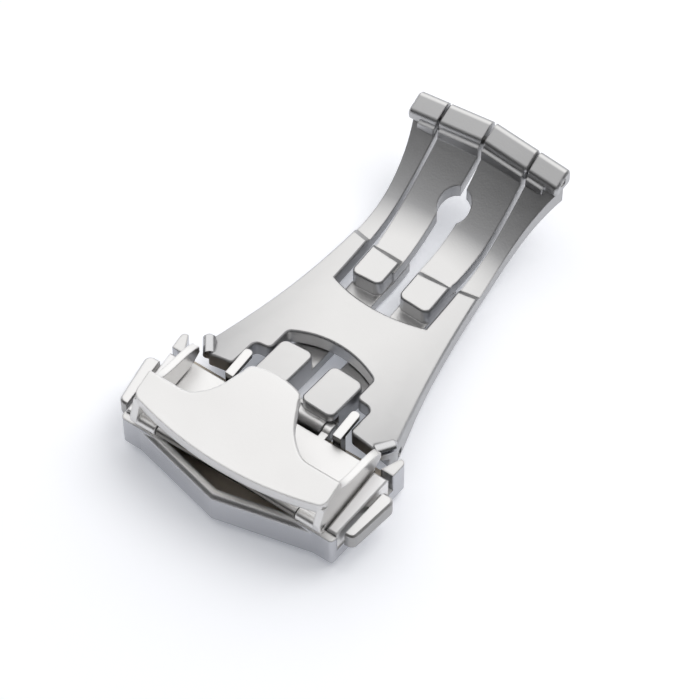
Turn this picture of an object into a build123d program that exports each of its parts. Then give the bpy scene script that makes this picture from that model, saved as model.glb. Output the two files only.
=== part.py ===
from build123d import *
import os
from math import cos, radians, sin, sqrt, tan

# Folding watch-strap clasp, shown closed and lying on its outer cover.
# Millimetres. X runs across the clasp, +Y from the pointed strap end to the far hinge,
# +Z up to the wrist side. The origin is the centre of the cover's flat outer face.

# Fits and overruns
running_clearance = 0.04
seat_clearance = 0.05
side_clearance = 0.08
overrun = 6.0
sky = 14.0

# Flats that stand for a round on small pieces which stay hidden
hidden_flats = 12

# Outer cover: a shallow tray with a pointed front and square front blocks
cover_apex_y = -6.0
cover_front_y = -4.2
cover_rear_y = 4.35
cover_point_half = 7.7
cover_front_half = 9.4
cover_rear_half = 10.0
cover_floor = 0.8
cover_rim_z = 3.65
cover_point_wall = 0.75
cover_side_wall = 1.05
cover_side_z = 2.0
cover_hook_z = 3.9
cover_hook_y = 2.8
cover_block_y = -3.6
cover_block_half = 7.7
cover_hook_half = 8.81
cover_hook_tip_half = 9.54
cover_rib_ys = (-0.7, 2.2)
cover_rib_width = 0.4
cover_rib_half = 7.5
cover_rib_top_z = 1.35
cover_rim_bevel = 0.32
cover_base_bevel = 0.75
cover_corner_radius = 0.35

# Side rails, pinned on top of the cover's low side walls
side_rail_front_y = -3.55
side_rail_rear_y = 2.35
side_rail_top_z = 3.9
side_rail_outer_inset = 0.1
side_rail_edge_bevel = 0.13
rail_pin_radius = 0.3
rail_pin_inset = 0.52
rail_pin_ys = (-2.5, 1.95)
rail_pin_bottom_z = 1.1
rail_pin_top_z = 3.2

# Base plate that roofs the latch space
base_plate_top_z = 3.5
base_plate_thickness = 0.5
base_plate_half = 8.35
base_plate_front_y = -3.65
base_plate_corner_y = -3.3
base_plate_rear_y = 2.75
base_plate_lip = 0.4
base_leg_thickness = 0.45
base_leg_spans = ((-3.25, -0.2), (1.7, 2.5))

# Hinge of the strap flap, along the front edge of the base plate
flap_hinge_y = -3.8
flap_hinge_z = 4.35
flap_pin_radius = 0.25
flap_pin_half = 8.3
flap_knuckle_radius = 0.5
base_knuckle_radius = 0.45
base_knuckle_half = 6.15
flap_knuckle_inner = 6.25

# Strap flap: a T-shaped plate, raised over the strap, on two side rails
flap_half = 8.4
flap_rail_thickness = 0.6
flap_front_y = -3.7
flap_front_bulge = 1.15
flap_front_z = 6.95
flap_middle_z = 7.75
flap_tip_z = 8.7
flap_middle_y = -1.1
flap_thickness = 1.0
flap_bar_rear_y = -1.6
flap_shoulder_half = 5.6
flap_stem_points = ((4.4, -1.15), (3.6, -0.4), (3.05, 0.45), (2.6, 1.4), (2.4, 2.2))
flap_stem_tip_y = 2.2
flap_tip_bulge = 0.45
flap_tip_radius = 0.75
flap_rail_bottom_z = 3.7
flap_rail_heel_y = 2.45
flap_rail_rear_y = 3.4
flap_rail_rear_low_z = 4.3
flap_rail_rear_z = 4.95
flap_rail_crest = ((2.1, 5.5), (0.7, 5.8), (-0.6, 6.15))
flap_corner_radius = 0.7
flap_edge_bevel = 0.17

# Post that goes through a hole in the strap
post_radius = 0.8
post_y = -1.2
post_end_z = 3.1
post_slot_front_y = -2.25
post_slot_rear_y = 0.1
post_slot_half = 0.95
post_seat_z = 7.2
post_tip_chamfer = 0.25

# Side buttons with their latch slides and springs
button_gap = 0.23
button_front_y = -3.1
button_rear_y = 1.45
button_front_reach = 0.75
button_rear_reach = 1.1
button_bottom_z = 2.1
button_top_z = 3.7
button_edge_bevel = 0.18
button_corner_radius = 0.55
slide_width = 1.3
slide_y = 0.75
slide_bottom_z = 1.65
slide_top_z = 2.95
slide_window_clearance = 0.1
tab_inner_x = 4.45
tab_outer_x = 5.15
tab_front_y = 2.95
tab_riser_depth = 0.65
tab_rear_y = 5.6
tab_bottom_z = 3.95
tab_top_z = 4.42
tab_end_radius = 0.3
spring_wire_radius = 0.11
spring_radius = 0.5
spring_seat_gap = 0.05
spring_stop_half = 0.9
spring_stop_front_y = -0.1
spring_stop_rear_y = 1.6
spring_z = 2.3
latch_cover_half = 7.8
latch_cover_top_z = 1.6
latch_cover_front_y = -1.2
latch_cover_rear_y = 2.6

# Hinge between head and inner leaf
head_hinge_y = 3.8
head_hinge_z = 3.0
head_pin_radius = 0.45
head_barrel_radius = 0.8
head_barrel_half = 3.2
head_lug_radius = 0.75
head_lug_thickness = 0.6
head_lug_root_y = 1.6

# Common curve of both leaves, seen from the side, and their crown from edge to edge
curve_low_y = 20.3
curve_low_z = 2.95
curve_wide_radius = 68.8
curve_wide_angle = 15.0
curve_bend_radius = 9.0
curve_bend_angle = 29.0
curve_far_radius = 28.0
curve_far_angle = 37.0
curve_far_run = 1.9
crown_radius = 25.0
crown_half = 9.2

# Step in the leaves where the arms drop below the pads
arm_step = 0.35
arm_step_y = 19.1
arm_step_run = 0.7
arm_thickness = 1.1

# Outer leaf: wide shield with a window, two arms and lugs for the strap's spring bar
shield_thickness = 1.45
shield_edge_y = 3.95
shield_edge_half = 7.45
shield_wide_half = 8.4
shield_wide_y = 5.3
shield_waist_half = 6.72
shield_waist_y = 12.7
shield_neck_half = 5.74
shield_neck_y = 19.4
shield_notch_x = 5.25
shield_notch_y = 6.8
shield_window_half = 3.85
shield_window_y = 9.1
shield_window_arch = 0.95
shield_fork_y = 15.55
shield_fork_arch = 0.95
shield_edge_bevel = 0.14
shield_front_radius = 0.4
shield_corner_radius = 0.45
arm_inner_x = 4.14
arm_outer_x = 5.67
arm_flare_y = 26.4
flange_width = 1.0
flange_front_y = 4.9
flange_rear_y = 16.0
flange_depth = 2.5
flange_head_z = 0.65
flange_head_y = 7.2
flange_run_z = 1.0
flange_run_y = 9.5
bar_hole_y = 6.2
bar_hole_z = 1.25
bar_hole_radius = 0.4
bead_radius = 0.5
bead_length = 1.7
bead_x = 7.93
bead_y = 4.75
bead_z = 3.4
bead_turn = 54.0
bead_end_bevel = 0.18

# Inner leaf: forked leaf that passes under the shield's bridge
leaf_half = 3.5
leaf_bridge_gap = 0.12
leaf_strip_thickness = 1.0
leaf_slot_half = 0.82
leaf_slot_points = ((0.82, 5.0), (0.83, 16.5), (0.72, 18.2), (0.72, 20.0), (0.82, 22.0), (0.9, 25.4))
leaf_outer_points = ((3.46, 16.6), (3.42, 20.2), (3.5, 20.6), (3.75, 23.9), (3.8, 26.6))
leaf_pad_rear_y = 8.25
leaf_pad_half = 3.65
leaf_pad_thickness = 1.65
leaf_pad_corner_radius = 0.6
leaf_pad_edge_bevel = 0.12
leaf_step_pad_y = 16.6
leaf_root_y = 20.6
leaf_arm_half = 3.8
leaf_hole_y = 25.4
leaf_hole_radius = 1.32
leaf_slit_half = 0.16
leaf_slit_near_half = 0.34
leaf_lug_relief_y = 4.9
leaf_lug_relief_z = 3.85

# Far hinge that joins both leaves: each knuckle is a rounded block around the pin
far_hinge_y = 30.0
far_hinge_z = 6.95
far_pin_radius = 0.34
far_pin_half = 6.7
knuckle_outer_x = 6.75
knuckle_split_x = 4.1
knuckle_gap = 0.15
knuckle_near_y = 29.0
knuckle_near_z = 8.02
knuckle_far_y = 31.05
knuckle_far_z = 8.86
knuckle_bottom_z = 6.05
knuckle_roof_slope = 0.147
knuckle_edge_radius = 0.5
knuckle_low_radius = 0.4
knuckle_end_bevel = 0.15
knuckle_ledge_y = 28.72
knuckle_ledge_drop = 0.5
knuckle_ledge_depth = 2.0

os.makedirs("parts", exist_ok=True)


def save(piece, name):
    piece.part.label = name
    export_step(piece.part, f"parts/{name}.step")


def side_x(y):
    """Half width of the head at station y: it widens evenly from front to rear."""
    share = (y - cover_front_y) / (cover_rear_y - cover_front_y)
    return cover_front_half + share * (cover_rear_half - cover_front_half)


def crown_drop(x):
    """How far a crowned surface lies below its centre line at distance x."""
    return crown_radius - sqrt(crown_radius**2 - x**2)


def curve_z(y):
    """Height of the wide arc of the leaves at station y, on the centre line."""
    return curve_low_z + curve_wide_radius - sqrt(curve_wide_radius**2 - (y - curve_low_y) ** 2)


# Key points of the side curve
wide_start_y = curve_low_y - curve_wide_radius * sin(radians(curve_wide_angle))
wide_start_z = curve_z(wide_start_y)
wide_middle_y = (wide_start_y + curve_low_y) / 2
bend_end_y = curve_low_y + curve_bend_radius * sin(radians(curve_bend_angle))
bend_end_z = curve_low_z + curve_bend_radius * (1 - cos(radians(curve_bend_angle)))
far_end_y = bend_end_y + curve_far_radius * (
    sin(radians(curve_far_angle)) - sin(radians(curve_bend_angle))
)
far_end_z = bend_end_z + curve_far_radius * (
    cos(radians(curve_bend_angle)) - cos(radians(curve_far_angle))
)
far_along = Vector(0, cos(radians(curve_far_angle)), sin(radians(curve_far_angle)))
arm_end = Vector(0, far_end_y, far_end_z) + far_along * curve_far_run


def heading(angle):
    """Direction of the side curve where it climbs at that angle."""
    return (cos(radians(angle)), sin(radians(angle)))


def crowned_band(top_depth, thickness):
    """A crowned strip of metal carried along the side curve of the leaves."""
    start = Plane(
        origin=(0, wide_start_y, wide_start_z),
        x_dir=(-1, 0, 0),
        z_dir=(0, cos(radians(curve_wide_angle)), -sin(radians(curve_wide_angle))),
    )
    drop = crown_drop(crown_half)
    with BuildPart() as band:
        with BuildLine(Plane.YZ) as path:
            Spline(
                (wide_start_y, wide_start_z),
                (wide_middle_y, curve_z(wide_middle_y)),
                (curve_low_y, curve_low_z),
                tangents=[heading(-curve_wide_angle), (1, 0)],
            )
            Spline(
                (curve_low_y, curve_low_z),
                (bend_end_y, bend_end_z),
                tangents=[(1, 0), heading(curve_bend_angle)],
            )
            Spline(
                (bend_end_y, bend_end_z),
                (far_end_y, far_end_z),
                tangents=[heading(curve_bend_angle), heading(curve_far_angle)],
            )
            Line((far_end_y, far_end_z), (arm_end.Y, arm_end.Z))
        with BuildSketch(start):
            with BuildLine():
                ThreePointArc(
                    (-crown_half, -top_depth - drop), (0, -top_depth), (crown_half, -top_depth - drop)
                )
                Line(
                    (crown_half, -top_depth - drop), (crown_half, -top_depth - drop - thickness)
                )
                ThreePointArc(
                    (crown_half, -top_depth - drop - thickness),
                    (0, -top_depth - thickness),
                    (-crown_half, -top_depth - drop - thickness),
                )
                Line(
                    (-crown_half, -top_depth - drop - thickness), (-crown_half, -top_depth - drop)
                )
            make_face()
        sweep(path=path.wires()[0])
    return band.part


def half_outline(points):
    """Mirror a right-hand outline, given from front to rear, into a closed outline."""
    return points + [(-x, y) for x, y in reversed(points) if x > 0]


def side_prism(points):
    """A block across the whole width whose side view is the given outline in Y and Z."""
    with BuildPart() as prism:
        with BuildSketch(Plane.YZ):
            Polygon(*points, align=None)
        extrude(amount=cover_rear_half + overrun, both=True)
    return prism.part


def mirrored(piece):
    """The left-hand twin of a right-hand piece."""
    with BuildPart() as twin:
        add(mirror(piece.part, about=Plane.YZ))
    return twin.part


# Outer cover
point_slope = (cover_front_y - cover_apex_y) / cover_point_half
point_shift = cover_point_wall * sqrt(1 + point_slope**2)
cover_outline = half_outline(
    [
        (0, cover_apex_y),
        (cover_point_half, cover_front_y),
        (cover_front_half, cover_front_y),
        (cover_rear_half, cover_rear_y),
    ]
)
with BuildPart() as outer_cover:
    with BuildSketch():
        Polygon(*cover_outline, align=None)
    extrude(amount=cover_hook_z)
    chamfer(outer_cover.faces().sort_by(Axis.Z)[0].edges(), cover_base_bevel)
    fillet(
        outer_cover.edges().filter_by(Axis.Z).filter_by(lambda e: e.center().X**2 > crown_half**2),
        cover_corner_radius,
    )
    # the tray: pointed front wall, side walls, open rear
    with BuildSketch(Plane.XY.offset(cover_floor)):
        Polygon(
            *half_outline(
                [
                    (0, cover_apex_y + point_shift),
                    (cover_block_half, cover_front_y + point_shift),
                    (cover_block_half, cover_block_y),
                    (side_x(cover_block_y) - cover_side_wall, cover_block_y),
                    (side_x(cover_hook_y) - cover_side_wall, cover_hook_y),
                    (cover_hook_half, cover_hook_y),
                    (cover_hook_tip_half, cover_rear_y + running_clearance),
                ]
            ),
            align=None,
        )
    extrude(amount=sky, mode=Mode.SUBTRACT)
    # low side walls between the front blocks and the rear hooks
    with BuildSketch(Plane.XY.offset(cover_side_z)):
        with Locations((0, (cover_block_y + cover_hook_y) / 2)):
            Rectangle(2 * (cover_rear_half + overrun), cover_hook_y - cover_block_y)
    extrude(amount=sky, mode=Mode.SUBTRACT)
    # the front is a little lower than the hooks
    with BuildSketch(Plane.XY.offset(cover_rim_z)):
        with Locations((0, cover_block_y - overrun)):
            Rectangle(2 * (cover_rear_half + overrun), 2 * overrun)
    extrude(amount=sky, mode=Mode.SUBTRACT)
    # passages for the latch slides in the low walls
    with BuildSketch(Plane.XY.offset(slide_bottom_z - slide_window_clearance)):
        with Locations((0, slide_y)):
            Rectangle(2 * (cover_rear_half + overrun), slide_width + 2 * slide_window_clearance)
    extrude(amount=cover_side_z, mode=Mode.SUBTRACT)
    # ribs that carry the latch cover plate
    with BuildSketch(Plane.XY.offset(cover_floor)):
        with Locations(*[(0, y) for y in cover_rib_ys]):
            Rectangle(2 * cover_rib_half, cover_rib_width)
    extrude(amount=cover_rib_top_z - cover_floor)
    # seats of the rail pins
    with BuildSketch(Plane.XY.offset(rail_pin_bottom_z)):
        for y in rail_pin_ys:
            pin_x = side_x(y) - rail_pin_inset
            with Locations((pin_x, y), (-pin_x, y)):
                RegularPolygon(rail_pin_radius, hidden_flats)
    extrude(amount=cover_side_z, mode=Mode.SUBTRACT)
    # the polished bevel along the outside of the pointed rim
    rim_edges = outer_cover.edges().filter_by(
        lambda e: e.center().Z > cover_rim_z - seat_clearance
        and e.center().Y < cover_front_y
        and e.center().Y < cover_apex_y + point_slope * e.center().X * (1 if e.center().X > 0 else -1)
        + seat_clearance
    )
    chamfer(rim_edges, cover_rim_bevel)
save(outer_cover, "outer_cover")

# Side rails and their pins
with BuildPart() as right_retainer_bar:
    with BuildSketch(Plane.XY.offset(cover_side_z)):
        Polygon(
            (flap_half + side_clearance, side_rail_front_y),
            (side_x(side_rail_front_y) - side_rail_outer_inset, side_rail_front_y),
            (side_x(side_rail_rear_y) - side_rail_outer_inset, side_rail_rear_y),
            (flap_half + side_clearance, side_rail_rear_y),
            align=None,
        )
    extrude(amount=side_rail_top_z - cover_side_z)
    chamfer(right_retainer_bar.faces().sort_by(Axis.Z)[-1].edges(), side_rail_edge_bevel)
    with BuildSketch(Plane.XY.offset(cover_side_z)):
        with Locations((side_x(slide_y), slide_y)):
            Rectangle(2 * overrun, slide_width + 2 * slide_window_clearance)
    extrude(
        amount=slide_top_z + slide_window_clearance - cover_side_z, mode=Mode.SUBTRACT
    )
    with BuildSketch(Plane.XY.offset(cover_side_z)):
        for y in rail_pin_ys:
            pin_x = side_x(y) - rail_pin_inset
            with Locations((pin_x, y)):
                RegularPolygon(rail_pin_radius, hidden_flats)
    extrude(amount=rail_pin_top_z - cover_side_z, mode=Mode.SUBTRACT)
save(right_retainer_bar, "right_retainer_bar")
with BuildPart() as left_retainer_bar:
    add(mirrored(right_retainer_bar))
save(left_retainer_bar, "left_retainer_bar")
with BuildPart() as retainer_pins:
    with BuildSketch(Plane.XY.offset(rail_pin_bottom_z)):
        for y in rail_pin_ys:
            pin_x = side_x(y) - rail_pin_inset
            with Locations((pin_x, y), (-pin_x, y)):
                RegularPolygon(rail_pin_radius, hidden_flats)
    extrude(amount=rail_pin_top_z - rail_pin_bottom_z)
save(retainer_pins, "retainer_pins")

# Base plate with legs, front knuckle and the lugs of the head hinge
base_plate_z = base_plate_top_z - base_plate_thickness
with BuildPart() as base_plate:
    with BuildSketch(Plane.XY.offset(base_plate_z)):
        Polygon(
            *half_outline(
                [
                    (base_knuckle_half, base_plate_front_y),
                    (base_knuckle_half, base_plate_corner_y),
                    (base_plate_half, base_plate_corner_y),
                    (base_plate_half, base_plate_rear_y),
                ]
            ),
            align=None,
        )
    extrude(amount=base_plate_thickness)
    # slot for the post
    with BuildSketch(Plane.XY.offset(base_plate_z)):
        with Locations((0, (post_slot_front_y + post_slot_rear_y) / 2)):
            Rectangle(2 * post_slot_half, post_slot_rear_y - post_slot_front_y)
    extrude(amount=base_plate_thickness, mode=Mode.SUBTRACT)
    # legs down to the cover's floor
    with BuildSketch(Plane.XY.offset(cover_floor)):
        for leg_front, leg_rear in base_leg_spans:
            leg_x = base_plate_half - base_leg_thickness / 2
            with Locations(
                (leg_x, (leg_front + leg_rear) / 2), (-leg_x, (leg_front + leg_rear) / 2)
            ):
                Rectangle(base_leg_thickness, leg_rear - leg_front)
    extrude(amount=base_plate_z - cover_floor)
    # upturned lip that ends in the hinge knuckle
    with BuildSketch(Plane.YZ):
        Polygon(
            (base_plate_front_y, base_plate_z),
            (base_plate_front_y + base_plate_lip, base_plate_z),
            (flap_hinge_y + base_knuckle_radius, flap_hinge_z),
            (flap_hinge_y, flap_hinge_z),
            align=None,
        )
        with Locations((flap_hinge_y, flap_hinge_z)):
            Circle(base_knuckle_radius)
    extrude(amount=base_knuckle_half, both=True)
    with BuildSketch(Plane.YZ):
        with Locations((flap_hinge_y, flap_hinge_z)):
            Circle(flap_pin_radius)
    extrude(amount=base_knuckle_half + overrun, both=True, mode=Mode.SUBTRACT)
    # lugs of the head hinge
    for lug_x in (
        head_barrel_half + side_clearance,
        -head_barrel_half - side_clearance - head_lug_thickness,
    ):
        with BuildSketch(Plane.YZ.offset(lug_x)):
            with Locations((head_hinge_y, head_hinge_z)):
                Circle(head_lug_radius)
            Polygon(
                (head_lug_root_y, base_plate_top_z),
                (head_lug_root_y, head_hinge_z - head_lug_radius),
                (head_hinge_y, head_hinge_z - head_lug_radius),
                (head_hinge_y, base_plate_top_z),
                align=None,
            )
        extrude(amount=head_lug_thickness)
    with BuildSketch(Plane.YZ):
        with Locations((head_hinge_y, head_hinge_z)):
            Circle(head_pin_radius)
    extrude(amount=base_plate_half, both=True, mode=Mode.SUBTRACT)
save(base_plate, "base_plate")

with BuildPart() as head_hinge_pin:
    with BuildSketch(Plane.YZ):
        with Locations((head_hinge_y, head_hinge_z)):
            Circle(head_pin_radius)
    extrude(amount=head_barrel_half + side_clearance + head_lug_thickness, both=True)
save(head_hinge_pin, "head_hinge_pin")

with BuildPart() as flap_hinge_pin:
    with BuildSketch(Plane.YZ):
        with Locations((flap_hinge_y, flap_hinge_z)):
            Circle(flap_pin_radius)
    extrude(amount=flap_pin_half, both=True)
save(flap_hinge_pin, "flap_hinge_pin")

# Strap flap
flap_slope = (flap_tip_z - flap_middle_z) / (flap_stem_tip_y - flap_middle_y)
flap_end_y = flap_stem_tip_y + flap_tip_bulge + side_clearance
flap_end_z = flap_tip_z + flap_slope * (flap_end_y - flap_stem_tip_y)
flap_nose_y = flap_front_y - flap_front_bulge
with BuildPart() as strap_flap:
    # T-shaped top plate: the side view carried across the whole width
    with BuildSketch(Plane.YZ):
        with BuildLine():
            top = Spline(
                (flap_nose_y, flap_front_z - flap_front_bulge * flap_slope),
                (flap_front_y, flap_front_z),
                (flap_middle_y, flap_middle_z),
                (flap_end_y, flap_end_z),
            )
            Line(top @ 1, (flap_end_y, flap_end_z - flap_thickness))
            Spline(
                (flap_end_y, flap_end_z - flap_thickness),
                (flap_middle_y, flap_middle_z - flap_thickness),
                (flap_front_y, flap_front_z - flap_thickness),
                (flap_nose_y, flap_front_z - flap_front_bulge * flap_slope - flap_thickness),
            )
            Line(
                (flap_nose_y, flap_front_z - flap_front_bulge * flap_slope - flap_thickness), top @ 0
            )
        make_face()
    extrude(amount=flap_half, both=True)
    with BuildSketch(Plane.XY) as flap_plan:
        with BuildLine():
            ThreePointArc(
                (-flap_half, flap_front_y), (0, flap_nose_y), (flap_half, flap_front_y)
            )
            Line((flap_half, flap_front_y), (flap_half, flap_bar_rear_y))
            Line((flap_half, flap_bar_rear_y), (flap_shoulder_half, flap_bar_rear_y))
            Spline(
                (flap_shoulder_half, flap_bar_rear_y),
                *flap_stem_points,
                tangents=[(-1, 0), (0, 1)],
            )
            ThreePointArc(
                flap_stem_points[-1],
                (0, flap_stem_tip_y + flap_tip_bulge),
                (-flap_stem_points[-1][0], flap_stem_points[-1][1]),
            )
            Spline(
                (-flap_shoulder_half, flap_bar_rear_y),
                *[(-x, y) for x, y in flap_stem_points],
                tangents=[(1, 0), (0, 1)],
            )
            Line((-flap_shoulder_half, flap_bar_rear_y), (-flap_half, flap_bar_rear_y))
            Line((-flap_half, flap_bar_rear_y), (-flap_half, flap_front_y))
        make_face()
        fillet(
            flap_plan.vertices().filter_by(lambda v: v.Y > flap_stem_tip_y - seat_clearance),
            flap_tip_radius,
        )
        fillet(
            flap_plan.vertices().filter_by(lambda v: v.Y < flap_bar_rear_y - seat_clearance),
            flap_corner_radius,
        )
    extrude(amount=sky, mode=Mode.INTERSECT)
    chamfer(strap_flap.faces().sort_by(Axis.Z)[-1].edges(), flap_edge_bevel)
    # side rails that come down beside the strap and carry the hinge knuckles
    for rail_x in (flap_half - flap_rail_thickness, -flap_half):
        with BuildSketch(Plane.YZ.offset(rail_x)):
            with BuildLine():
                Polyline(
                    (flap_bar_rear_y, flap_middle_z - flap_thickness),
                    (flap_front_y, flap_front_z - flap_thickness / 2),
                    (flap_hinge_y - flap_knuckle_radius, flap_hinge_z + flap_knuckle_radius),
                    (flap_hinge_y - flap_knuckle_radius, flap_hinge_z),
                    (flap_hinge_y, flap_rail_bottom_z),
                    (flap_rail_heel_y, flap_rail_bottom_z),
                    (flap_rail_rear_y, flap_rail_rear_low_z),
                    (flap_rail_rear_y, flap_rail_rear_z),
                )
                Spline(
                    (flap_rail_rear_y, flap_rail_rear_z),
                    *flap_rail_crest,
                    (flap_bar_rear_y, flap_middle_z - flap_thickness),
                )
            make_face()
        extrude(amount=flap_rail_thickness)
    for barrel_x in (flap_knuckle_inner, -flap_half):
        with BuildSketch(Plane.YZ.offset(barrel_x)):
            with Locations((flap_hinge_y, flap_hinge_z)):
                Circle(flap_knuckle_radius)
        extrude(amount=flap_half - flap_knuckle_inner)
    with BuildSketch(Plane.YZ):
        with Locations((flap_hinge_y, flap_hinge_z)):
            Circle(flap_pin_radius + running_clearance)
    extrude(amount=flap_half, both=True, mode=Mode.SUBTRACT)
    # seat of the post
    with BuildSketch(Plane.XY.offset(post_end_z)):
        with Locations((0, post_y)):
            Circle(post_radius + seat_clearance)
    extrude(amount=post_seat_z - post_end_z, mode=Mode.SUBTRACT)
save(strap_flap, "strap_flap")

with BuildPart() as strap_post:
    with BuildSketch(Plane.XY.offset(post_end_z)):
        with Locations((0, post_y)):
            Circle(post_radius)
    extrude(amount=post_seat_z - post_end_z)
    chamfer(strap_post.faces().sort_by(Axis.Z)[0].edges(), post_tip_chamfer)
save(strap_post, "strap_post")

# Buttons, latch slides, springs and their stop
with BuildPart() as right_button:
    with BuildSketch(Plane.XY.offset(button_bottom_z)) as button_plan:
        Polygon(
            (side_x(button_front_y) + button_gap, button_front_y),
            (side_x(button_front_y) + button_gap + button_front_reach, button_front_y),
            (side_x(button_rear_y) + button_gap + button_rear_reach, button_rear_y),
            (side_x(button_rear_y) + button_gap, button_rear_y),
            align=None,
        )
        fillet(
            button_plan.vertices().filter_by(lambda v: v.X > side_x(v.Y) + button_gap + seat_clearance),
            button_corner_radius,
        )
    extrude(amount=button_top_z - button_bottom_z)
    button_rims = right_button.faces().filter_by(Axis.Z).edges()
    chamfer(
        button_rims.filter_by(
            lambda e: e.center().X > side_x(e.center().Y) + button_gap + seat_clearance
        ),
        button_edge_bevel,
    )
save(right_button, "right_button")
with BuildPart() as left_button:
    add(mirrored(right_button))
save(left_button, "left_button")

with BuildPart() as right_latch_slide:
    with BuildSketch(Plane.XY.offset(slide_bottom_z)):
        Polygon(
            (tab_inner_x, slide_y - slide_width / 2),
            (side_x(slide_y - slide_width / 2) + button_gap, slide_y - slide_width / 2),
            (side_x(slide_y + slide_width / 2) + button_gap, slide_y + slide_width / 2),
            (tab_outer_x, slide_y + slide_width / 2),
            (tab_outer_x, tab_front_y + tab_riser_depth),
            (tab_inner_x, tab_front_y + tab_riser_depth),
            align=None,
        )
    extrude(amount=slide_top_z - slide_bottom_z)
    with BuildSketch(Plane.XY.offset(slide_top_z)):
        with Locations(((tab_inner_x + tab_outer_x) / 2, tab_front_y + tab_riser_depth / 2)):
            Rectangle(tab_outer_x - tab_inner_x, tab_riser_depth)
    extrude(amount=tab_top_z - slide_top_z)
    with BuildSketch(Plane.XY.offset(tab_bottom_z)) as tab_plan:
        with Locations(((tab_inner_x + tab_outer_x) / 2, (tab_front_y + tab_rear_y) / 2)):
            Rectangle(tab_outer_x - tab_inner_x, tab_rear_y - tab_front_y)
        fillet(tab_plan.vertices().group_by(Axis.Y)[-1], tab_end_radius)
    extrude(amount=tab_top_z - tab_bottom_z)
save(right_latch_slide, "right_latch_slide")
with BuildPart() as left_latch_slide:
    add(mirrored(right_latch_slide))
save(left_latch_slide, "left_latch_slide")

# each spring stays hidden, so its coils are a plain sleeve of their outline
with BuildPart() as right_button_spring:
    with BuildSketch(Plane.YZ.offset(spring_stop_half + spring_seat_gap)):
        with Locations((slide_y, spring_z)):
            RegularPolygon(spring_radius + spring_wire_radius, hidden_flats)
            RegularPolygon(spring_radius - spring_wire_radius, hidden_flats, mode=Mode.SUBTRACT)
    extrude(amount=tab_inner_x - spring_stop_half - 2 * spring_seat_gap)
save(right_button_spring, "right_button_spring")
with BuildPart() as left_button_spring:
    add(mirrored(right_button_spring))
save(left_button_spring, "left_button_spring")

with BuildPart() as spring_stop:
    with BuildSketch(Plane.XY.offset(latch_cover_top_z)):
        with Locations((0, (spring_stop_front_y + spring_stop_rear_y) / 2)):
            Rectangle(2 * spring_stop_half, spring_stop_rear_y - spring_stop_front_y)
    extrude(amount=base_plate_z - latch_cover_top_z)
save(spring_stop, "spring_stop")

with BuildPart() as latch_cover_plate:
    with BuildSketch(Plane.XY.offset(cover_rib_top_z)):
        with Locations((0, (latch_cover_front_y + latch_cover_rear_y) / 2)):
            Rectangle(2 * latch_cover_half, latch_cover_rear_y - latch_cover_front_y)
    extrude(amount=latch_cover_top_z - cover_rib_top_z)
save(latch_cover_plate, "latch_cover_plate")

# Knuckle blocks of the far hinge, shaped by a roof that falls to both sides
knuckle_roof_mid = (knuckle_far_z - knuckle_near_z) / (knuckle_far_y - knuckle_near_y)


def knuckle(inner_x, outer_x):
    """A rounded knuckle of the far hinge between two stations across the clasp."""
    with BuildPart() as block:
        with BuildSketch(Plane.YZ.offset(inner_x)):
            Polygon(
                (knuckle_near_y, knuckle_bottom_z),
                (knuckle_far_y, knuckle_bottom_z),
                (knuckle_far_y, knuckle_far_z),
                (knuckle_near_y, knuckle_near_z),
                align=None,
            )
        extrude(amount=outer_x - inner_x)
        roof = Plane(
            origin=(0, knuckle_far_y, knuckle_far_z),
            x_dir=(1, 0, -knuckle_roof_slope),
            z_dir=Vector(knuckle_roof_slope, -knuckle_roof_mid, 1),
        )
        split(bisect_by=roof, keep=Keep.BOTTOM)
        long_edges = block.edges().filter_by(
            lambda e: e.length > outer_x - inner_x - seat_clearance
            and abs(e.center().X - (inner_x + outer_x) / 2) < seat_clearance
        )
        fillet(
            long_edges.filter_by(lambda e: e.center().Z > far_hinge_z), knuckle_edge_radius
        )
        low_edges = block.edges().filter_by(Axis.X).filter_by(
            lambda e: e.center().Z < far_hinge_z
        )
        fillet(low_edges, knuckle_low_radius)
        chamfer(block.faces().sort_by(Axis.X)[-1].edges(), knuckle_end_bevel)
    return block.part


def knuckle_ledge(inner_x, outer_x):
    """The low ledge along the near side of a knuckle, which falls with the same roof."""
    with BuildPart() as block:
        with BuildSketch(Plane.YZ.offset(inner_x)):
            Polygon(
                (knuckle_ledge_y, knuckle_near_z - knuckle_ledge_depth),
                (far_hinge_y, knuckle_near_z - knuckle_ledge_depth),
                (far_hinge_y, sky),
                (knuckle_ledge_y, sky),
                align=None,
            )
        extrude(amount=outer_x - inner_x)
        roof = Plane(
            origin=(0, knuckle_far_y, knuckle_far_z - knuckle_ledge_drop),
            x_dir=(1, 0, -knuckle_roof_slope),
            z_dir=Vector(knuckle_roof_slope, -knuckle_roof_mid, 1),
        )
        split(bisect_by=roof, keep=Keep.BOTTOM)
    return block.part


# Outer leaf
shield_ramp = [
    (cover_hook_y, -overrun),
    (arm_step_y + arm_step_run + 2 * (curve_low_z + overrun) * arm_step_run, -overrun),
    (arm_step_y, curve_low_z + seat_clearance),
    (arm_step_y, sky),
    (cover_hook_y, sky),
]
arm_ramp = [
    (arm_step_y - arm_step_run, -overrun),
    (far_hinge_y + overrun, -overrun),
    (far_hinge_y + overrun, sky),
    (arm_step_y - arm_step_run, sky),
]


def top_rim(piece, rear_limit):
    """Edges round the upper face of a crowned piece, except those behind a station."""
    upper = piece.faces().sort_by(SortBy.AREA)[-2:].sort_by(Axis.Z)[-1]
    return upper.edges().filter_by(lambda e: e.center().Y < rear_limit)


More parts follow.
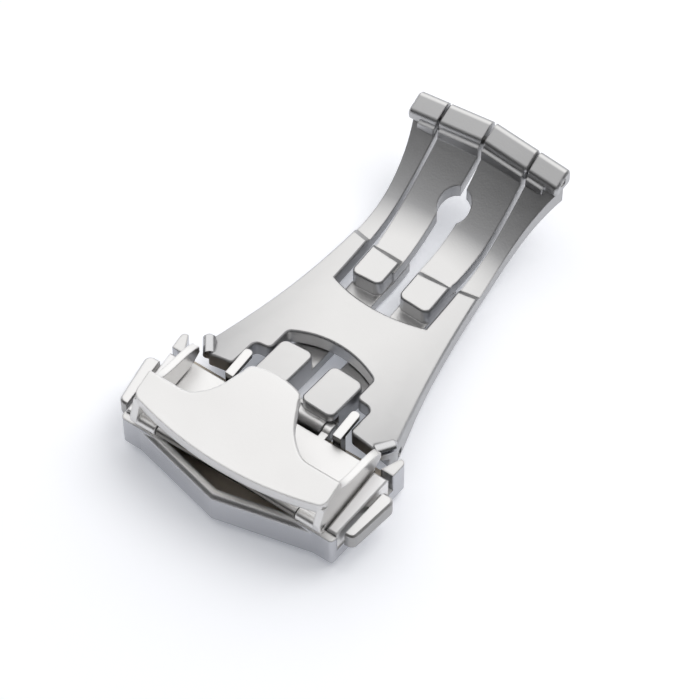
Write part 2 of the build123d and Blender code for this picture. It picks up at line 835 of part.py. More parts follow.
def shield_plan(plane):
    """Plan view of the outer leaf, cut from head to far hinge, with window and fork."""
    with BuildSketch(plane) as plan:
        with BuildLine():
            Line((shield_notch_x, shield_edge_y), (shield_edge_half, shield_edge_y))
            Line((shield_edge_half, shield_edge_y), (shield_wide_half, shield_wide_y))
            Spline(
                (shield_wide_half, shield_wide_y),
                (shield_waist_half, shield_waist_y),
                (shield_neck_half, shield_neck_y),
                (arm_outer_x, arm_flare_y),
                (knuckle_outer_x, far_hinge_y),
            )
            Line((knuckle_outer_x, far_hinge_y), (arm_inner_x, far_hinge_y))
            Line((arm_inner_x, far_hinge_y), (arm_inner_x, shield_fork_y))
            ThreePointArc(
                (arm_inner_x, shield_fork_y),
                (0, shield_fork_y - shield_fork_arch),
                (-arm_inner_x, shield_fork_y),
            )
            Line((-arm_inner_x, shield_fork_y), (-arm_inner_x, far_hinge_y))
            Line((-arm_inner_x, far_hinge_y), (-knuckle_outer_x, far_hinge_y))
            Spline(
                (-knuckle_outer_x, far_hinge_y),
                (-arm_outer_x, arm_flare_y),
                (-shield_neck_half, shield_neck_y),
                (-shield_waist_half, shield_waist_y),
                (-shield_wide_half, shield_wide_y),
            )
            Line((-shield_wide_half, shield_wide_y), (-shield_edge_half, shield_edge_y))
            Line((-shield_edge_half, shield_edge_y), (-shield_notch_x, shield_edge_y))
            Line((-shield_notch_x, shield_edge_y), (-shield_notch_x, shield_notch_y))
            Line((-shield_notch_x, shield_notch_y), (-shield_window_half, shield_notch_y))
            Line((-shield_window_half, shield_notch_y), (-shield_window_half, shield_window_y))
            ThreePointArc(
                (-shield_window_half, shield_window_y),
                (0, shield_window_y + shield_window_arch),
                (shield_window_half, shield_window_y),
            )
            Line((shield_window_half, shield_window_y), (shield_window_half, shield_notch_y))
            Line((shield_window_half, shield_notch_y), (shield_notch_x, shield_notch_y))
            Line((shield_notch_x, shield_notch_y), (shield_notch_x, shield_edge_y))
        make_face()
        fillet(
            plan.vertices().filter_by(
                lambda v: shield_notch_y - seat_clearance < v.Y < shield_fork_y - seat_clearance
                and v.X**2 < shield_notch_x**2 + seat_clearance
            ),
            shield_corner_radius,
        )
        fillet(
            plan.vertices().filter_by(lambda v: v.Y < shield_wide_y + seat_clearance),
            shield_front_radius,
        )
    return plan.sketch


shield_face = shield_plan(Plane.XY.offset(-overrun))
full_band = crowned_band(0, shield_thickness)
arm_band = crowned_band(arm_step, arm_thickness)
flange_band = crowned_band(shield_thickness / 2, flange_depth - shield_thickness / 2)

with BuildPart() as shield_body:
    add(full_band)
    extrude(shield_face, amount=sky + overrun, mode=Mode.INTERSECT)
    add(side_prism(shield_ramp), mode=Mode.INTERSECT)
    chamfer(top_rim(shield_body, arm_step_y - seat_clearance), shield_edge_bevel)

with BuildPart() as shield_flanges:
    add(flange_band)
    with BuildSketch(Plane.XY.offset(-overrun)) as flange_ring:
        add(shield_face)
        Polygon(
            *half_outline(
                [
                    (shield_wide_half - flange_width, cover_hook_y),
                    (shield_wide_half - flange_width, shield_wide_y),
                    (shield_waist_half - flange_width, shield_waist_y),
                    (shield_neck_half - flange_width, shield_neck_y),
                ]
            ),
            align=None,
            mode=Mode.SUBTRACT,
        )
    extrude(flange_ring.sketch, amount=sky + overrun, mode=Mode.INTERSECT)
    add(
        side_prism(
            [
                (flange_front_y, flange_head_z),
                (flange_head_y, flange_head_z),
                (flange_run_y, flange_run_z),
                (flange_rear_y, flange_run_z),
                (flange_rear_y, sky),
                (flange_front_y, sky),
            ]
        ),
        mode=Mode.INTERSECT,
    )

with BuildPart() as outer_leaf:
    add(arm_band)
    extrude(shield_face, amount=sky + overrun, mode=Mode.INTERSECT)
    add(side_prism(arm_ramp), mode=Mode.INTERSECT)
    add(shield_body)
    add(shield_flanges)
    add(knuckle(knuckle_split_x + knuckle_gap / 2, knuckle_outer_x))
    add(knuckle_ledge(knuckle_split_x + knuckle_gap / 2, arm_outer_x))
    add(mirror(knuckle_ledge(knuckle_split_x + knuckle_gap / 2, arm_outer_x), about=Plane.YZ))
    add(mirror(knuckle(knuckle_split_x + knuckle_gap / 2, knuckle_outer_x), about=Plane.YZ))
    # bore of the far hinge
    with BuildSketch(Plane.YZ):
        with Locations((far_hinge_y, far_hinge_z)):
            Circle(far_pin_radius)
    extrude(amount=knuckle_outer_x + overrun, both=True, mode=Mode.SUBTRACT)
    # holes for the ends of the strap's spring bar
    with BuildSketch(Plane.YZ):
        with Locations((bar_hole_y, bar_hole_z)):
            Circle(bar_hole_radius)
    extrude(amount=shield_wide_half + overrun, both=True, mode=Mode.SUBTRACT)
    # grooves of the corner beads
    for side in (1, -1):
        bead_axis = Plane(
            origin=(side * bead_x, bead_y, bead_z),
            z_dir=(side * cos(radians(bead_turn)), sin(radians(bead_turn)), 0),
        )
        with BuildSketch(bead_axis):
            Circle(bead_radius)
        extrude(amount=bead_length / 2, both=True, mode=Mode.SUBTRACT)
save(outer_leaf, "outer_leaf")

bead_plane = Plane(
    origin=(bead_x, bead_y, bead_z), z_dir=(cos(radians(bead_turn)), sin(radians(bead_turn)), 0)
)
with BuildPart() as right_corner_bead:
    with BuildSketch(bead_plane):
        Circle(bead_radius)
    extrude(amount=bead_length / 2, both=True)
    chamfer(right_corner_bead.faces().sort_by(Axis.Y)[-1].edges(), bead_end_bevel)
save(right_corner_bead, "right_corner_bead")
with BuildPart() as left_corner_bead:
    add(mirrored(right_corner_bead))
save(left_corner_bead, "left_corner_bead")

# Inner leaf
strip_band = crowned_band(shield_thickness + leaf_bridge_gap, leaf_strip_thickness)
pad_band = crowned_band(0, leaf_pad_thickness)


def leaf_plan(plane):
    """Plan view of the inner leaf: two arms with a slot, a round hole and a slit between."""
    with BuildSketch(plane) as plan:
        Polygon(
            *half_outline(
                [
                    (head_barrel_half, head_hinge_y),
                    (head_barrel_half, leaf_lug_relief_y),
                    (leaf_half, leaf_lug_relief_y),
                    *leaf_outer_points,
                    (leaf_arm_half, far_hinge_y - knuckle_edge_radius),
                ]
            ),
            align=None,
        )
        Polygon(*half_outline(list(leaf_slot_points)), align=None, mode=Mode.SUBTRACT)
        with Locations((0, leaf_hole_y)):
            Circle(leaf_hole_radius, mode=Mode.SUBTRACT)
        Polygon(
            *half_outline(
                [
                    (leaf_slit_near_half, leaf_hole_y),
                    (leaf_slit_half, knuckle_near_y),
                    (leaf_slit_half, far_hinge_y + overrun),
                ]
            ),
            align=None,
            mode=Mode.SUBTRACT,
        )
    return plan.sketch


leaf_face = leaf_plan(Plane.XY.offset(-overrun))
with BuildPart() as leaf_strip:
    add(strip_band)
    extrude(leaf_face, amount=sky + overrun, mode=Mode.INTERSECT)
    add(
        side_prism(
            [
                (head_hinge_y, -overrun),
                (leaf_root_y, -overrun),
                (leaf_root_y, sky),
                (head_hinge_y, sky),
            ]
        ),
        mode=Mode.INTERSECT,
    )

with BuildPart() as leaf_pads:
    add(pad_band)
    with BuildSketch(Plane.XY.offset(-overrun)) as pad_plan:
        for side in (1, -1):
            pad_mid = side * (leaf_slot_half + leaf_pad_half) / 2
            with Locations((pad_mid, (shield_edge_y + leaf_pad_rear_y) / 2)):
                Rectangle(leaf_pad_half - leaf_slot_half, leaf_pad_rear_y - shield_edge_y)
            pad_mid = side * (leaf_slot_half + leaf_half) / 2
            with Locations((pad_mid, (leaf_step_pad_y + arm_step_y + arm_step_run) / 2)):
                Rectangle(leaf_half - leaf_slot_half, arm_step_y + arm_step_run - leaf_step_pad_y)
        fillet(
            pad_plan.vertices().filter_by(lambda v: v.Y < arm_step_y),
            leaf_pad_corner_radius,
        )
    extrude(pad_plan.sketch, amount=sky + overrun, mode=Mode.INTERSECT)
    add(side_prism(shield_ramp), mode=Mode.INTERSECT)
    for pad in leaf_pads.solids():
        upper = pad.faces().sort_by(SortBy.AREA)[-2:].sort_by(Axis.Z)[-1]
        chamfer(
            upper.edges().filter_by(lambda e: e.center().Y < arm_step_y - seat_clearance),
            leaf_pad_edge_bevel,
        )

with BuildPart() as inner_leaf:
    add(arm_band)
    extrude(leaf_face, amount=sky + overrun, mode=Mode.INTERSECT)
    add(side_prism(arm_ramp), mode=Mode.INTERSECT)
    add(leaf_strip)
    add(leaf_pads)
    with BuildSketch(Plane.YZ):
        with Locations((head_hinge_y, head_hinge_z)):
            Circle(head_barrel_radius)
    extrude(amount=head_barrel_half, both=True)
    with BuildSketch(Plane.YZ):
        with Locations((head_hinge_y, head_hinge_z)):
            Circle(head_pin_radius + running_clearance)
    extrude(amount=head_barrel_half + overrun, both=True, mode=Mode.SUBTRACT)
    add(knuckle(leaf_slit_half, knuckle_split_x - knuckle_gap / 2))
    add(knuckle_ledge(leaf_slit_half, leaf_arm_half))
    add(mirror(knuckle_ledge(leaf_slit_half, leaf_arm_half), about=Plane.YZ))
    add(mirror(knuckle(leaf_slit_half, knuckle_split_x - knuckle_gap / 2), about=Plane.YZ))
    with BuildSketch(Plane.YZ):
        with Locations((far_hinge_y, far_hinge_z)):
            Circle(far_pin_radius + running_clearance)
    extrude(amount=knuckle_split_x, both=True, mode=Mode.SUBTRACT)
    # keep the lugs of the head hinge clear
    for side in (1, -1):
        with BuildSketch(Plane.XY.offset(-overrun)):
            with Locations((side * (head_barrel_half + leaf_pad_half) / 2, head_hinge_y)):
                Rectangle(leaf_pad_half - head_barrel_half, 2 * (leaf_lug_relief_y - head_hinge_y))
        extrude(amount=leaf_lug_relief_z + overrun, mode=Mode.SUBTRACT)
save(inner_leaf, "inner_leaf")

with BuildPart() as far_hinge_pin:
    with BuildSketch(Plane.YZ):
        with Locations((far_hinge_y, far_hinge_z)):
            Circle(far_pin_radius)
    extrude(amount=far_pin_half, both=True)
save(far_hinge_pin, "far_hinge_pin")
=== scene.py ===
# %% [markdown]
# A folding watch-strap clasp, seen from its wrist side.
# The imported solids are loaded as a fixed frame, in metres. Their shapes are final, so what follows
# gives them their finishes, swaps two plain spring sleeves for coils, and builds the studio.

# %% Load the frame
import math

import bpy
import numpy as np
from mathutils import Matrix, Vector


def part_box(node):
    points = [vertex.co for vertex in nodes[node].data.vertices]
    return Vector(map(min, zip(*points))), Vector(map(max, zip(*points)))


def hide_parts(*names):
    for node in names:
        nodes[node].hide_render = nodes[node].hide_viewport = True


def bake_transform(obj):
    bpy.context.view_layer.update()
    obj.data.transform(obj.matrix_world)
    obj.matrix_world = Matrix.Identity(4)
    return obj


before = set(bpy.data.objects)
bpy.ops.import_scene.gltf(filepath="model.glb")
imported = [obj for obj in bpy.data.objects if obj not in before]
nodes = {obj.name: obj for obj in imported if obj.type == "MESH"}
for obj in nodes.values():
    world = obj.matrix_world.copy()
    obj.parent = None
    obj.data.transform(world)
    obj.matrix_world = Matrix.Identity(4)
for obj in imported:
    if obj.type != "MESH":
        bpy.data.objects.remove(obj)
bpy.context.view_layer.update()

MM = 0.001
scene = bpy.context.scene

# %% [markdown]
# Colours are written as the hex values that a paint picker shows. Shaders work in linear light, so
# one function turns the first into the second.

# %% Paint-picker colours in linear light
SRGB_KNEE, SRGB_SLOPE, SRGB_OFFSET, SRGB_POWER = 0.04045, 12.92, 0.055, 2.4


def linear(hex_code):
    """sRGB hex to linear: a channel up to the knee is divided by the slope.

    Above the knee, the channel plus the offset is divided by one plus the offset, and the result
    is raised to the power.
    """
    parts = np.array([int(hex_code[i : i + 2], 16) for i in (0, 2, 4)]) / 255.0
    low = parts / SRGB_SLOPE
    high = ((parts + SRGB_OFFSET) / (1 + SRGB_OFFSET)) ** SRGB_POWER
    return (*np.where(parts <= SRGB_KNEE, low, high).tolist(), 1.0)


print("middle grey 808080 is", round(linear("808080")[0], 3), "in linear light")

# %% [markdown]
# A finish is a small tree of nodes. One function adds a node with its settings and links, so that
# each finish reads as a short recipe.

# %% Add a node
MIX_A, MIX_B, MIX_RESULT = 6, 7, 2  # a Mix node has sockets for each data type: these are colours


def add(tree, kind, inputs=(), **settings):
    """A node of that kind, with its inputs by socket name or in order.

    An input is a number, colour or vector, or another node's output, which is linked to it.
    """
    node = tree.nodes.new(kind)
    for key, value in settings.items():
        setattr(node, key, value)
    pairs = inputs.items() if isinstance(inputs, dict) else enumerate(inputs)
    for socket, value in pairs:
        if isinstance(value, bpy.types.NodeSocket):
            tree.links.new(value, node.inputs[socket])
        else:
            node.inputs[socket].default_value = value
    return node


def empty_tree(owner):
    """The owner's node tree, switched on and cleared of Blender's default nodes."""
    owner.use_nodes = True
    owner.node_tree.nodes.clear()
    return owner.node_tree


print("Mix colour sockets", MIX_A, MIX_B, "result", MIX_RESULT)

# %% [markdown]
# The clasp is stainless steel in several finishes. Its broad faces are blasted with fine beads and
# then lapped, so they are satin and pale, with a slight cloudiness in the gloss. Its flanks and
# rolled edges are polished, so they mirror what is beside them, and their tone is painted darker as
# shade. Which is which comes from the object's own normals: how level a face lies decides its share
# of the satin. A painted mask could do the same, but it would have to be redone when a shape
# changes.
#
# The floor of the cover's tray is out of reach of any wheel, so it stays rough. Its pale, slightly
# brown tone is painted: painted light lifts it out of its shade, and the brown is a painted
# reflection. It is found by its height and by its normal, which points up.

# %% Where the tray's floor is
TRAY_LOW_MM, TRAY_HIGH_MM = 0.9, 1.5  # all of the floor is below the first height
WALL_Z, FLOOR_Z = 0.4, 0.6  # a normal's upward part, at most on a wall and at least on a floor
TRAY_ROUGH = 0.9  # blasted and never lapped


def off_tray(tree, place, upward):
    """0 on the tray's floor and 1 off it: the greater of how high a spot is and how steep."""
    height = add(tree, "ShaderNodeSeparateXYZ", [place]).outputs["Z"]
    span = [TRAY_LOW_MM * MM, TRAY_HIGH_MM * MM]
    above = add(tree, "ShaderNodeMapRange", [height, *span, 0.0, 1.0])
    aside = add(tree, "ShaderNodeMapRange", [upward, WALL_Z, FLOOR_Z, 1.0, 0.0])
    both = [above.outputs["Result"], aside.outputs["Result"]]
    return add(tree, "ShaderNodeMath", both, operation="MAXIMUM").outputs["Value"]


print("tray's floor: full below", TRAY_LOW_MM, "mm, gone above", TRAY_HIGH_MM, "mm")

# %% [markdown]
# Each finish is the same recipe with its own numbers. Two noises in object space give the slow
# cloudiness and the fine grain, with their scales in real millimetres. The bevel node rounds the
# normals along each edge by about 0.1 to 0.25 mm, as tumbling does, so that the edges catch the
# light. A real bevel would do it too, at the cost of many thin faces.

# %% The steel recipe
CLOUD_MM, CLOUD_DETAIL = 2.5, 3.0
GRAIN_MM, GRAIN_DETAIL = 0.16, 2.0  # real dimples are 0.05 mm, too fine to show, so drawn coarser
DIMPLE_MM = 0.02  # how deep the grain is at full strength
NOISE_LOW, NOISE_HIGH = 0.3, 0.7  # noise seldom leaves this range, so it is stretched from it
WORN_SHARE = 0.94  # the tone of the most worn patches, as a share of the satin's
BEVEL_SAMPLES = 4


def steel(
    name,
    satin,
    painted_flank_shade,
    satin_rough,
    flank_rough,
    cloud=0.06,
    grain=0.05,
    edge_mm=0.12,
    slope=(0.55, 0.85),
    tray=None,
):
    """Satin on level faces, and polish with a darker, painted shade on flanks.

    The satin's share rises from 0 to 1 as |normal z| crosses the slope, and the flank tone, a
    painted shade, fills the rest. Roughness is the two values mixed by that share, plus or minus
    half the cloud. The grain is the strength of the dimples. Where a tray tone is given, it takes
    over on the tray's floor as painted light and a painted reflection, and the floor is rougher too.
    """
    material = bpy.data.materials.new(name)
    tree = empty_tree(material)
    spot = add(tree, "ShaderNodeTexCoord").outputs
    place = spot["Object"]
    patches = {"Vector": place, "Scale": 1 / (CLOUD_MM * MM), "Detail": CLOUD_DETAIL}
    dimples = {"Vector": place, "Scale": 1 / (GRAIN_MM * MM), "Detail": GRAIN_DETAIL}
    slow = add(tree, "ShaderNodeTexNoise", patches).outputs["Fac"]
    fine = add(tree, "ShaderNodeTexNoise", dimples).outputs["Fac"]

    upward = add(tree, "ShaderNodeSeparateXYZ", [spot["Normal"]]).outputs["Z"]
    level = add(tree, "ShaderNodeMath", [upward], operation="ABSOLUTE").outputs["Value"]
    share = add(tree, "ShaderNodeMapRange", [level, *slope, 0.0, 1.0]).outputs["Result"]

    worn = (*(WORN_SHARE * channel for channel in linear(satin)[:3]), 1.0)
    face = {"Factor": slow, MIX_A: worn, MIX_B: linear(satin)}
    face_tone = add(tree, "ShaderNodeMix", face, data_type="RGBA").outputs[MIX_RESULT]
    # painted shade: steep faces take the darker flank tone
    both = {"Factor": share, MIX_A: linear(painted_flank_shade), MIX_B: face_tone}
    tone = add(tree, "ShaderNodeMix", both, data_type="RGBA").outputs[MIX_RESULT]

    gloss = add(tree, "ShaderNodeMapRange", [share, 0.0, 1.0, flank_rough, satin_rough])
    cloudy = add(tree, "ShaderNodeMapRange", [slow, NOISE_LOW, NOISE_HIGH, -cloud / 2, cloud / 2])
    terms = [gloss.outputs["Result"], cloudy.outputs["Result"]]
    rough = add(tree, "ShaderNodeMath", terms, operation="ADD").outputs["Value"]

    # painted light and a painted reflection: the tray's floor takes its own pale, warm tone
    if tray:
        off = off_tray(tree, place, upward)
        parts = {"Factor": off, MIX_A: linear(tray), MIX_B: tone}
        tone = add(tree, "ShaderNodeMix", parts, data_type="RGBA").outputs[MIX_RESULT]
        blasted = add(tree, "ShaderNodeMapRange", [off, 0.0, 1.0, TRAY_ROUGH, 0.0])
        terms = [rough, blasted.outputs["Result"]]
        rough = add(tree, "ShaderNodeMath", terms, operation="MAXIMUM").outputs["Value"]

    rounded = add(tree, "ShaderNodeBevel", {"Radius": edge_mm * MM}, samples=BEVEL_SAMPLES)
    relief = {
        "Height": fine,
        "Normal": rounded.outputs["Normal"],
        "Strength": grain,
        "Distance": DIMPLE_MM * MM,
    }
    bump = add(tree, "ShaderNodeBump", relief)
    look = {
        "Base Color": tone,
        "Metallic": 1.0,
        "Roughness": rough,
        "Normal": bump.outputs["Normal"],
    }
    metal = add(tree, "ShaderNodeBsdfPrincipled", look)
    add(tree, "ShaderNodeOutputMaterial", {"Surface": metal.outputs["BSDF"]})
    print("made", name, "of", len(tree.nodes), "nodes")
    return material


print("steel: cloudiness over", CLOUD_MM, "mm, grain over", GRAIN_MM, "mm")

# %% [markdown]
# First the pieces that are seen. The tones are those of steel under a soft white light, a touch
# warm, and each was matched to the photograph. What a broad face mirrors does the rest, together
# with the darker flank tone painted on steep faces as shade, so the same steel looks nearly white on
# the flap and grey on an arm that climbs towards the lens.

# %% Steels of the outside
# Lapped on a flat wheel: the palest sheen, in which the soft box shows as one even sheet. Its sides
# take a greyer tone as painted shade.
flap_steel = steel(
    "lapped_stainless_flap",
    satin="FDFCFB",
    painted_flank_shade="DAD9D8",
    satin_rough=0.38,
    flank_rough=0.33,
    grain=0.15,
    edge_mm=0.2,
)

# Blasted with fine beads: pale where the shield is level. The bent arms take a greyer tone, painted
# shade for their slope, and the grain breaks up their highlights.
leaf_steel = steel(
    "bead_blasted_stainless_leaf",
    satin="EAE9E8",
    painted_flank_shade="B2B2B3",
    satin_rough=0.34,
    flank_rough=0.36,
    grain=0.35,
    edge_mm=0.2,
    slope=(0.9, 0.99),
)

# Satin outside and left rough in the tray: soft bright walls round a dull, slightly brown floor. The
# walls' steep faces take a greyer painted shade, and the floor's pale warm tone is painted light and
# a painted reflection.
cover_steel = steel(
    "satin_stainless_cover",
    satin="ECEBEA",
    painted_flank_shade="B9BABE",
    satin_rough=0.42,
    flank_rough=0.25,
    edge_mm=0.25,
    tray="EFE8DE",
)

# Satin on all sides: the rails beside the flap are pale on top and down their flanks, where the
# painted shade is only slight.
rail_steel = steel(
    "satin_stainless_rail", satin="FBFAFA", painted_flank_shade="EDECEB", satin_rough=0.45, flank_rough=0.45
)

# Satin with polished sides: the plate's face is pale, and its cut-outs are outlined in dark grey,
# a painted shade on its sides.
plate_steel = steel(
    "satin_stainless_plate", satin="FAF9F8", painted_flank_shade="6F6D6A", satin_rough=0.38, flank_rough=0.25
)

# Satin on top and polished round the sides, whose darker tone is painted shade: the buttons read as
# small soft blocks.
satin_steel = steel(
    "satin_stainless_steel", satin="F6F5F4", painted_flank_shade="A3A2A1", satin_rough=0.42, flank_rough=0.3
)

# Polished all over: the two corner beads glint, with hardly any grain. Their steep faces take a
# greyer tone as painted shade.
polished_steel = steel(
    "polished_stainless_pin",
    satin="DCDCDD",
    painted_flank_shade="A9A9AB",
    satin_rough=0.24,
    flank_rough=0.16,
    cloud=0.04,
    grain=0.02,
)

# %% [markdown]
# Then the pieces inside the latch and the pins. Nobody polishes what the wearer can't see, so these
# are greyer. They still show at the joints' limits, and in the gaps.

# %% Steels of the inside
# Left as it came from the mill: dull, and darker still as painted shade, so the latch looks deep.
inner_steel = steel(
    "unpolished_stainless", satin="A39F99", painted_flank_shade="7E7A74", satin_rough=0.45, flank_rough=0.35
)

# Turned on a lathe: a plain grey that is a little glossier than the plates.
pin_steel = steel(
    "turned_stainless_pin", satin="B9B8B6", painted_flank_shade="9E9D9B", satin_rough=0.3, flank_rough=0.25
)

# Hard-drawn wire: smooth and grey. The wire is so thin that only a tiny bevel keeps it round.
spring_wire = steel(
    "drawn_spring_steel",
    satin="A9A8A6",
    painted_flank_shade="8E8D8B",
    satin_rough=0.3,
    flank_rough=0.25,
    edge_mm=0.02,
)

# %% [markdown]
# A node keeps its own mesh, and its finish goes into each of its material slots. The two springs
# get none here, because coils replace them.

# %% Hand out the finishes
finishes = {
    "outer_cover": cover_steel,
    "base_plate": plate_steel,
    "left_retainer_bar": rail_steel,
    "right_retainer_bar": rail_steel,
    "retainer_pins": pin_steel,
    "strap_flap": flap_steel,
    "strap_post": pin_steel,
    "flap_hinge_pin": pin_steel,
    "left_button": satin_steel,
    "right_button": satin_steel,
    "left_latch_slide": plate_steel,
    "right_latch_slide": plate_steel,
    "spring_stop": inner_steel,
    "latch_cover_plate": inner_steel,
    "head_hinge_pin": pin_steel,
    "inner_leaf": leaf_steel,
    "outer_leaf": leaf_steel,
    "far_hinge_pin": pin_steel,
    "left_corner_bead": polished_steel,
    "right_corner_bead": polished_steel,
}
for name, finish in finishes.items():
    for slot in nodes[name].material_slots:
        slot.material = finish
print("finishes on", len(finishes), "nodes, none yet on", sorted(set(nodes) - set(finishes)))

# %% [markdown]
# The button springs are hard-drawn wire, wound cold. In the solids each is a plain sleeve of the
# same size. Here it is the real coil, with its turns closer together at both ends, as a spring has
# where it seats. A Screw modifier could wind it, but only with turns that are all alike, so the
# helix is a path worked out in numpy and the wire is a circle carried along it.

# %% The springs' path
WIRE_R, COIL_R, TURNS = 0.11 * MM, 0.5 * MM, 5.0
SEAT_SHARE, SEAT_RATE = 0.12, 0.25  # the wire's share in each seat, and how fast it advances there
RINGS, RING_POINTS = 160, 10


def coil_path(seat, length, side):
    """Helix along x from a seat: its centre line, and the direction outwards at each ring.

    The angle grows evenly along the wire. The advance is the running sum of a rate that is 1 in
    the middle and falls to the seat's rate at both ends, so the end turns lie close together.
    """
    share = np.linspace(0.0, 1.0, RINGS)
    rate = np.clip(np.minimum(share, 1.0 - share) / SEAT_SHARE, SEAT_RATE, 1.0)
    advance = np.concatenate([[0.0], np.cumsum((rate[1:] + rate[:-1]) / 2)])
    advance /= advance[-1]
    angle = side * 2 * math.pi * TURNS * share
    outwards = np.stack([np.zeros(RINGS), np.cos(angle), np.sin(angle)], axis=1)
    centre = COIL_R * outwards
    centre[:, 0] = side * (length - 2 * WIRE_R) * advance
    centre += [seat[0] + side * WIRE_R, seat[1], seat[2]]
    return centre, outwards


print("coil of", TURNS, "turns,", RINGS, "rings of", RING_POINTS, "points")

# %% The springs' wire


def wire_mesh(name, centre, outwards):
    """Circle carried along the path: centre + r cos(t) outwards + r sin(t) (tangent x outwards)."""
    tangent = np.gradient(centre, axis=0)
    tangent /= np.linalg.norm(tangent, axis=1, keepdims=True)
    across = np.cross(tangent, outwards)
    turn = np.linspace(0.0, 2 * math.pi, RING_POINTS, endpoint=False)[None, :, None]
    rings = centre[:, None] + WIRE_R * (
        np.cos(turn) * outwards[:, None] + np.sin(turn) * across[:, None]
    )
    ring, point = np.meshgrid(np.arange(RINGS - 1), np.arange(RING_POINTS), indexing="ij")
    here, beside = ring * RING_POINTS + point, ring * RING_POINTS + (point + 1) % RING_POINTS
    quads = np.stack([here, beside, beside + RING_POINTS, here + RING_POINTS], axis=-1)
    last = (RINGS - 1) * RING_POINTS
    caps = [list(range(RING_POINTS))[::-1], list(range(last, last + RING_POINTS))]
    mesh = bpy.data.meshes.new(name)
    mesh.from_pydata(rings.reshape(-1, 3).tolist(), [], quads.reshape(-1, 4).tolist() + caps)
    mesh.shade_smooth()
    mesh.materials.append(spring_wire)
    return mesh


print("wire radius", WIRE_R / MM, "mm")

# %% [markdown]
# One end of each spring rests on the stop and the other on the latch slide. Here each coil takes the
# length and place of its sleeve, from the sleeve's inner end, and the sleeve is hidden.

for hand, side in (("left", -1), ("right", 1)):
    node = hand + "_button_spring"
    low, high = (np.array(corner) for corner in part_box(node))
    length, middle = high[0] - low[0], (low + high) / 2
    seat = (low[0] if side > 0 else high[0], middle[1], middle[2])
    mesh = wire_mesh(hand + "_spring_coil", *coil_path(seat, length, side))
    coil = bpy.data.objects.new(hand + "_spring_coil", mesh)
    scene.collection.objects.link(coil)
    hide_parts(node)
    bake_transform(coil)
    print(hand, "spring:", len(coil.data.polygons), "faces,", round(length / MM, 2), "mm long")

# %% [markdown]
# The clasp lies on a white table. The floor is a plain matte sheet. Camera and mirror rays see it
# a little brighter than its light makes it, so that it reads as white, and it still carries the
# clasp's shadow, which the extra light keeps soft and faintly blue, as in the photograph. More
# lamps would whiten it too, but they would bleach the steel.

# %% The table's finish
FLOOR_LIFT = 0.2  # how much light the sheet adds to what it reflects, for camera and mirror rays
FLOOR_TONE, FLOOR_SEEN = "FBFBFC", "FDFDFF"  # its own tone, and the tone that those rays see

# Matte white board: no highlight at all, only the shadow.
paper = bpy.data.materials.new("white_table")
tree = empty_tree(paper)
ray = add(tree, "ShaderNodeLightPath").outputs
mirrors = [ray["Is Glossy Ray"], ray["Is Transmission Ray"]]
mirror_ray = add(tree, "ShaderNodeMath", mirrors, operation="MAXIMUM").outputs["Value"]
viewers = [ray["Is Camera Ray"], mirror_ray]
seen = add(tree, "ShaderNodeMath", viewers, operation="MAXIMUM").outputs["Value"]
tones = {"Factor": seen, MIX_A: linear(FLOOR_TONE), MIX_B: linear(FLOOR_SEEN)}
white = add(tree, "ShaderNodeMix", tones, data_type="RGBA").outputs[MIX_RESULT]
matte = add(tree, "ShaderNodeBsdfDiffuse", {"Color": white}).outputs["BSDF"]
lift = add(tree, "ShaderNodeMath", [seen, FLOOR_LIFT], operation="MULTIPLY").outputs["Value"]
glow = add(tree, "ShaderNodeEmission", {"Color": linear("EEF4FF"), "Strength": lift})
sheet = add(tree, "ShaderNodeAddShader", [matte, glow.outputs["Emission"]])
add(tree, "ShaderNodeOutputMaterial", {"Surface": sheet.outputs["Shader"]})
print("table finish:", len(tree.nodes), "nodes")

# %% The table
FLOOR_HALF, FLOOR_DROP = 600 * MM, 0.02 * MM  # the drop keeps it from touching the cover's face
floor_mesh = bpy.data.meshes.new("floor")
corners = [(x * FLOOR_HALF, y * FLOOR_HALF, 0) for x, y in ((-1, -1), (1, -1), (1, 1), (-1, 1))]
floor_mesh.from_pydata(corners, [], [(0, 1, 2, 3)])
floor_mesh.materials.append(paper)
floor = bpy.data.objects.new("floor", floor_mesh)
floor.location.z = -FLOOR_DROP
scene.collection.objects.link(floor)
print("table", 2 * FLOOR_HALF, "m square, its top at", -FLOOR_DROP / MM, "mm")

# %% [markdown]
# A soft studio, made almost wholly of the world's own light. One broad soft box hangs above the
# clasp, a little behind it and to the left. A dark card stands in front of it, so the level faces
# are pale, and the arms that rise to the far hinge face the card and are grey. The horizon is
# dark too, which draws a thin dark line along the rounded edges. Both depend on the direction in
# which a ray leaves the object, and not on the camera, so the steel looks right from all sides.

# %% The soft box and the dark card
# Each has a direction and two cosines: where its edge begins, and where it is full.
BOX_TOWARDS, BOX_EDGE, BOX_FULL = (-0.25, 0.42, 0.872), 0.32, 0.68
CARD_TOWARDS, CARD_EDGE, CARD_FULL = (0.0, -1.0, 0.0), 0.12, 0.45
SKY_FRONT, SKY_TOP = 0.12, 1.06  # strengths outside the soft box and in the middle of it
CARD_SHADE = 0.55  # the share of light that the card lets through, where it is full

world = bpy.data.worlds.new("studio")
scene.world = world
sky = empty_tree(world)
looking = add(sky, "ShaderNodeTexCoord").outputs["Generated"]

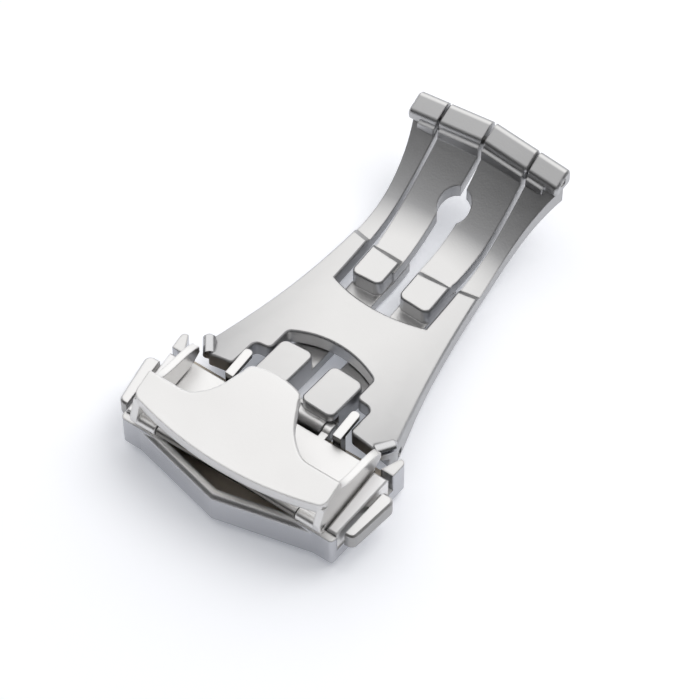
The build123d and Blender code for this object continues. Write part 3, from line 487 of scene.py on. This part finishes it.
# A dot product gives the cosine of the angle between the ray and the direction of each.
to_box = add(sky, "ShaderNodeVectorMath", [looking, BOX_TOWARDS], operation="DOT_PRODUCT")
to_card = add(sky, "ShaderNodeVectorMath", [looking, CARD_TOWARDS], operation="DOT_PRODUCT")
box_range = [to_box.outputs["Value"], BOX_EDGE, BOX_FULL, SKY_FRONT, SKY_TOP]
card_range = [to_card.outputs["Value"], CARD_EDGE, CARD_FULL, 1.0, CARD_SHADE]
box = add(sky, "ShaderNodeMapRange", box_range).outputs["Result"]
card = add(sky, "ShaderNodeMapRange", card_range).outputs["Result"]
strength = add(sky, "ShaderNodeMath", [box, card], operation="MULTIPLY").outputs["Value"]
studio = add(sky, "ShaderNodeBackground", {"Color": linear("FFFFFF"), "Strength": strength})
add(sky, "ShaderNodeOutputWorld", {"Surface": studio.outputs["Background"]})
print("world light from", round(SKY_FRONT * CARD_SHADE, 3), "to", SKY_TOP)

# %% [markdown]
# A weak square lamp gives the table's shadow its direction. Mirror rays don't see it, because it
# would show as a bright patch in the polished flanks.

# %% The key lamp
LAMP_PLACE, LAMP_AIM = Vector((0.09, 0.15, 0.30)), Vector((0, 0.012, 0.003))
LAMP_SIZE, LAMP_WATTS = 0.2, 0.3  # metres across, and weak for its size
lamp = bpy.data.lights.new("key_lamp", "AREA")
lamp.size = LAMP_SIZE
lamp.energy = LAMP_WATTS
key_lamp = bpy.data.objects.new("key_lamp", lamp)
key_lamp.location = LAMP_PLACE
key_lamp.rotation_euler = (LAMP_AIM - LAMP_PLACE).to_track_quat("-Z", "Y").to_euler()
key_lamp.visible_glossy = False
scene.collection.objects.link(key_lamp)
print("key lamp", round((LAMP_AIM - LAMP_PLACE).length, 2), "m from the clasp")

# %% [markdown]
# The camera stands where the photograph was taken from: 35 degrees round to the right from the
# cover's point, and 55 degrees up. The distance and the focal length together keep its mild
# perspective, and a small shift puts the clasp where it is in the picture.

# %% Camera
AZIMUTH, ELEVATION = math.radians(34.775), math.radians(55.47)
DISTANCE, CLIP_START = 253.63 * MM, 10 * MM
FOCAL_PX, FRAME_PX, SENSOR_MM = 3400.0, 700, 36.0  # the first two in the photograph's pixels
SHIFT_X_PX, SHIFT_Y_PX = -3.31, -9.85
TARGET = Vector((0, 0.012, 0.002))  # the middle of the folded clasp
back = Vector(
    (
        math.sin(AZIMUTH) * math.cos(ELEVATION),
        -math.cos(AZIMUTH) * math.cos(ELEVATION),
        math.sin(ELEVATION),
    )
)
right = Vector((math.cos(AZIMUTH), math.sin(AZIMUTH), 0))
place = TARGET + back * DISTANCE
turned = Matrix((right, back.cross(right), back)).transposed().to_4x4()
lens = bpy.data.cameras.new("photo_camera")
lens.sensor_width = SENSOR_MM
lens.lens = FOCAL_PX / FRAME_PX * SENSOR_MM
lens.shift_x = SHIFT_X_PX / FRAME_PX
lens.shift_y = SHIFT_Y_PX / FRAME_PX
lens.clip_start = CLIP_START
camera = bpy.data.objects.new("photo_camera", lens)
camera.matrix_world = Matrix.Translation(place) @ turned
scene.collection.objects.link(camera)
scene.camera = camera
scene.view_settings.view_transform = "Standard"
print("camera at", [round(v, 4) for v in camera.matrix_world.translation])
